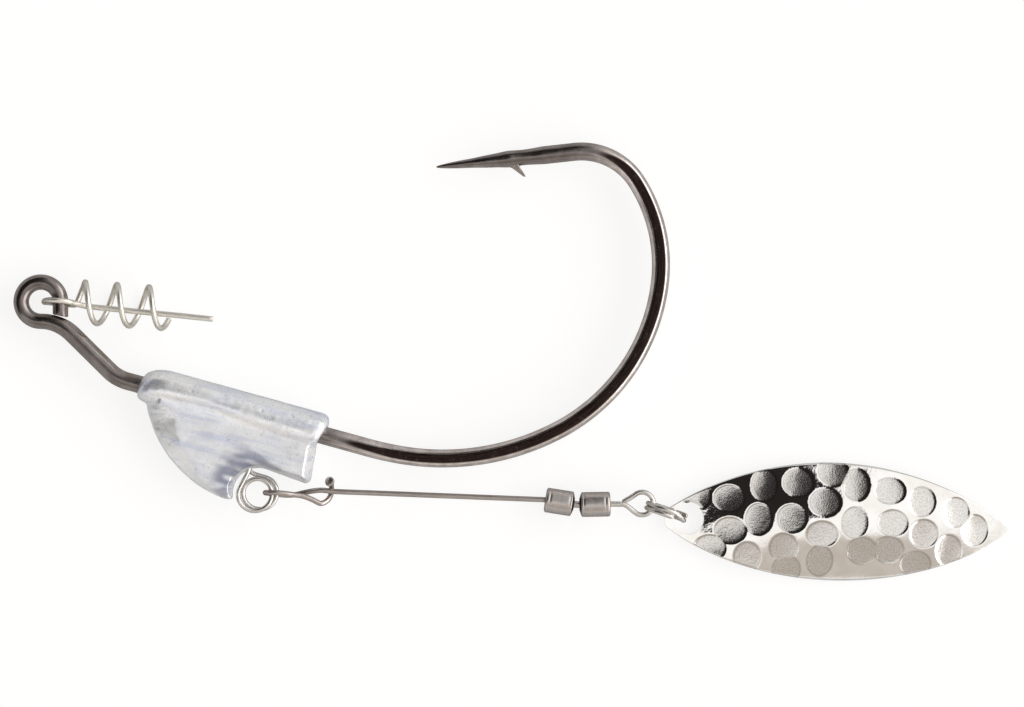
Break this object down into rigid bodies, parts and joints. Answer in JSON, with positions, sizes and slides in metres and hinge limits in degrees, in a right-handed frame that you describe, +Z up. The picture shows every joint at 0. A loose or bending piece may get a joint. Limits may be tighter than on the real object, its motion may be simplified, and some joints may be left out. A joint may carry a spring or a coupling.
{
  "type": "weighted swimbait hook with underspin blade",
  "caption": "Wide-gap swimbait hook with a cast keel weight, a coiled pin keeper on the line eye and a dented willow-leaf blade spinning on a wire arm below.",
  "frame": {"origin": "middle of the box that holds the whole lure, on the plane it lies on", "axes": "+X from the line eye towards the blade's tip, +Y towards the hook point, +Z up out of the lure's side"},
  "size_m": [0.1034, 0.0456, 0.0049],
  "materials": {
    "black_nickel": "high-carbon steel wire under polished black nickel plate",
    "bright_lead": "cast lead with its bright skin, streaked and lightly pitted",
    "stainless_wire": "drawn stainless spring wire",
    "black_brass": "drawn brass shell under satin black nickel plate",
    "silver_plate": "brass sheet, silver plated and polished, with struck round dents"
  },
  "bodies": {
    "lure": {"hook": "black_nickel", "keel_weight": "bright_lead", "hanger_loop": "stainless_wire"},
    "keeper": {"centering_pin_spring": "stainless_wire"},
    "arm": {"spinner_arm": "stainless_wire"},
    "drum_front": {"front_barrel": "black_brass"},
    "link": {"link_pin": "stainless_wire"},
    "drum_rear": {"rear_barrel": "black_brass"},
    "eye": {"swivel_eye": "stainless_wire"},
    "ring": {"split_ring": "stainless_wire"},
    "blade": {"willow_blade": "silver_plate"}
  },
  "joints": [
    {"name": "keeper_swing", "type": "hinge", "parent": "lure", "child": "keeper", "pos_m": [-0.04892, 0.00626, 0.00245], "axis": [0, 0, 1], "range_deg": [-6, 190]},
    {"name": "arm_swing", "type": "hinge", "parent": "lure", "child": "arm", "pos_m": [-0.02634, -0.01367, 0.00245], "axis": [0, 0, 1], "range_deg": [-120, 4]},
    {"name": "front_drum_spin", "type": "hinge", "parent": "arm", "child": "drum_front", "pos_m": [0.00335, -0.01428, 0.00199], "axis": [0.9877, -0.1564, 0], "continuous": true},
    {"name": "link_tilt", "type": "hinge", "parent": "drum_front", "child": "link", "pos_m": [0.00633, -0.01476, 0.00199], "axis": [0, 0, 1], "range_deg": [-12, 2]},
    {"name": "rear_drum_spin", "type": "hinge", "parent": "link", "child": "drum_rear", "pos_m": [0.00689, -0.01479, 0.00199], "axis": [0.9998, 0.0174, 0], "continuous": true},
    {"name": "eye_spin", "type": "hinge", "parent": "drum_rear", "child": "eye", "pos_m": [0.01009, -0.01473, 0.00199], "axis": [0.9998, 0.0174, 0], "continuous": true},
    {"name": "ring_swing", "type": "hinge", "parent": "eye", "child": "ring", "pos_m": [0.01339, -0.01468, 0.00199], "axis": [0, 0, 1], "range_deg": [-30, 45]},
    {"name": "blade_swing", "type": "hinge", "parent": "ring", "child": "blade", "pos_m": [0.01828, -0.01632, 0.001], "axis": [0, 0, 1], "range_deg": [-30, 25]}
  ]
}
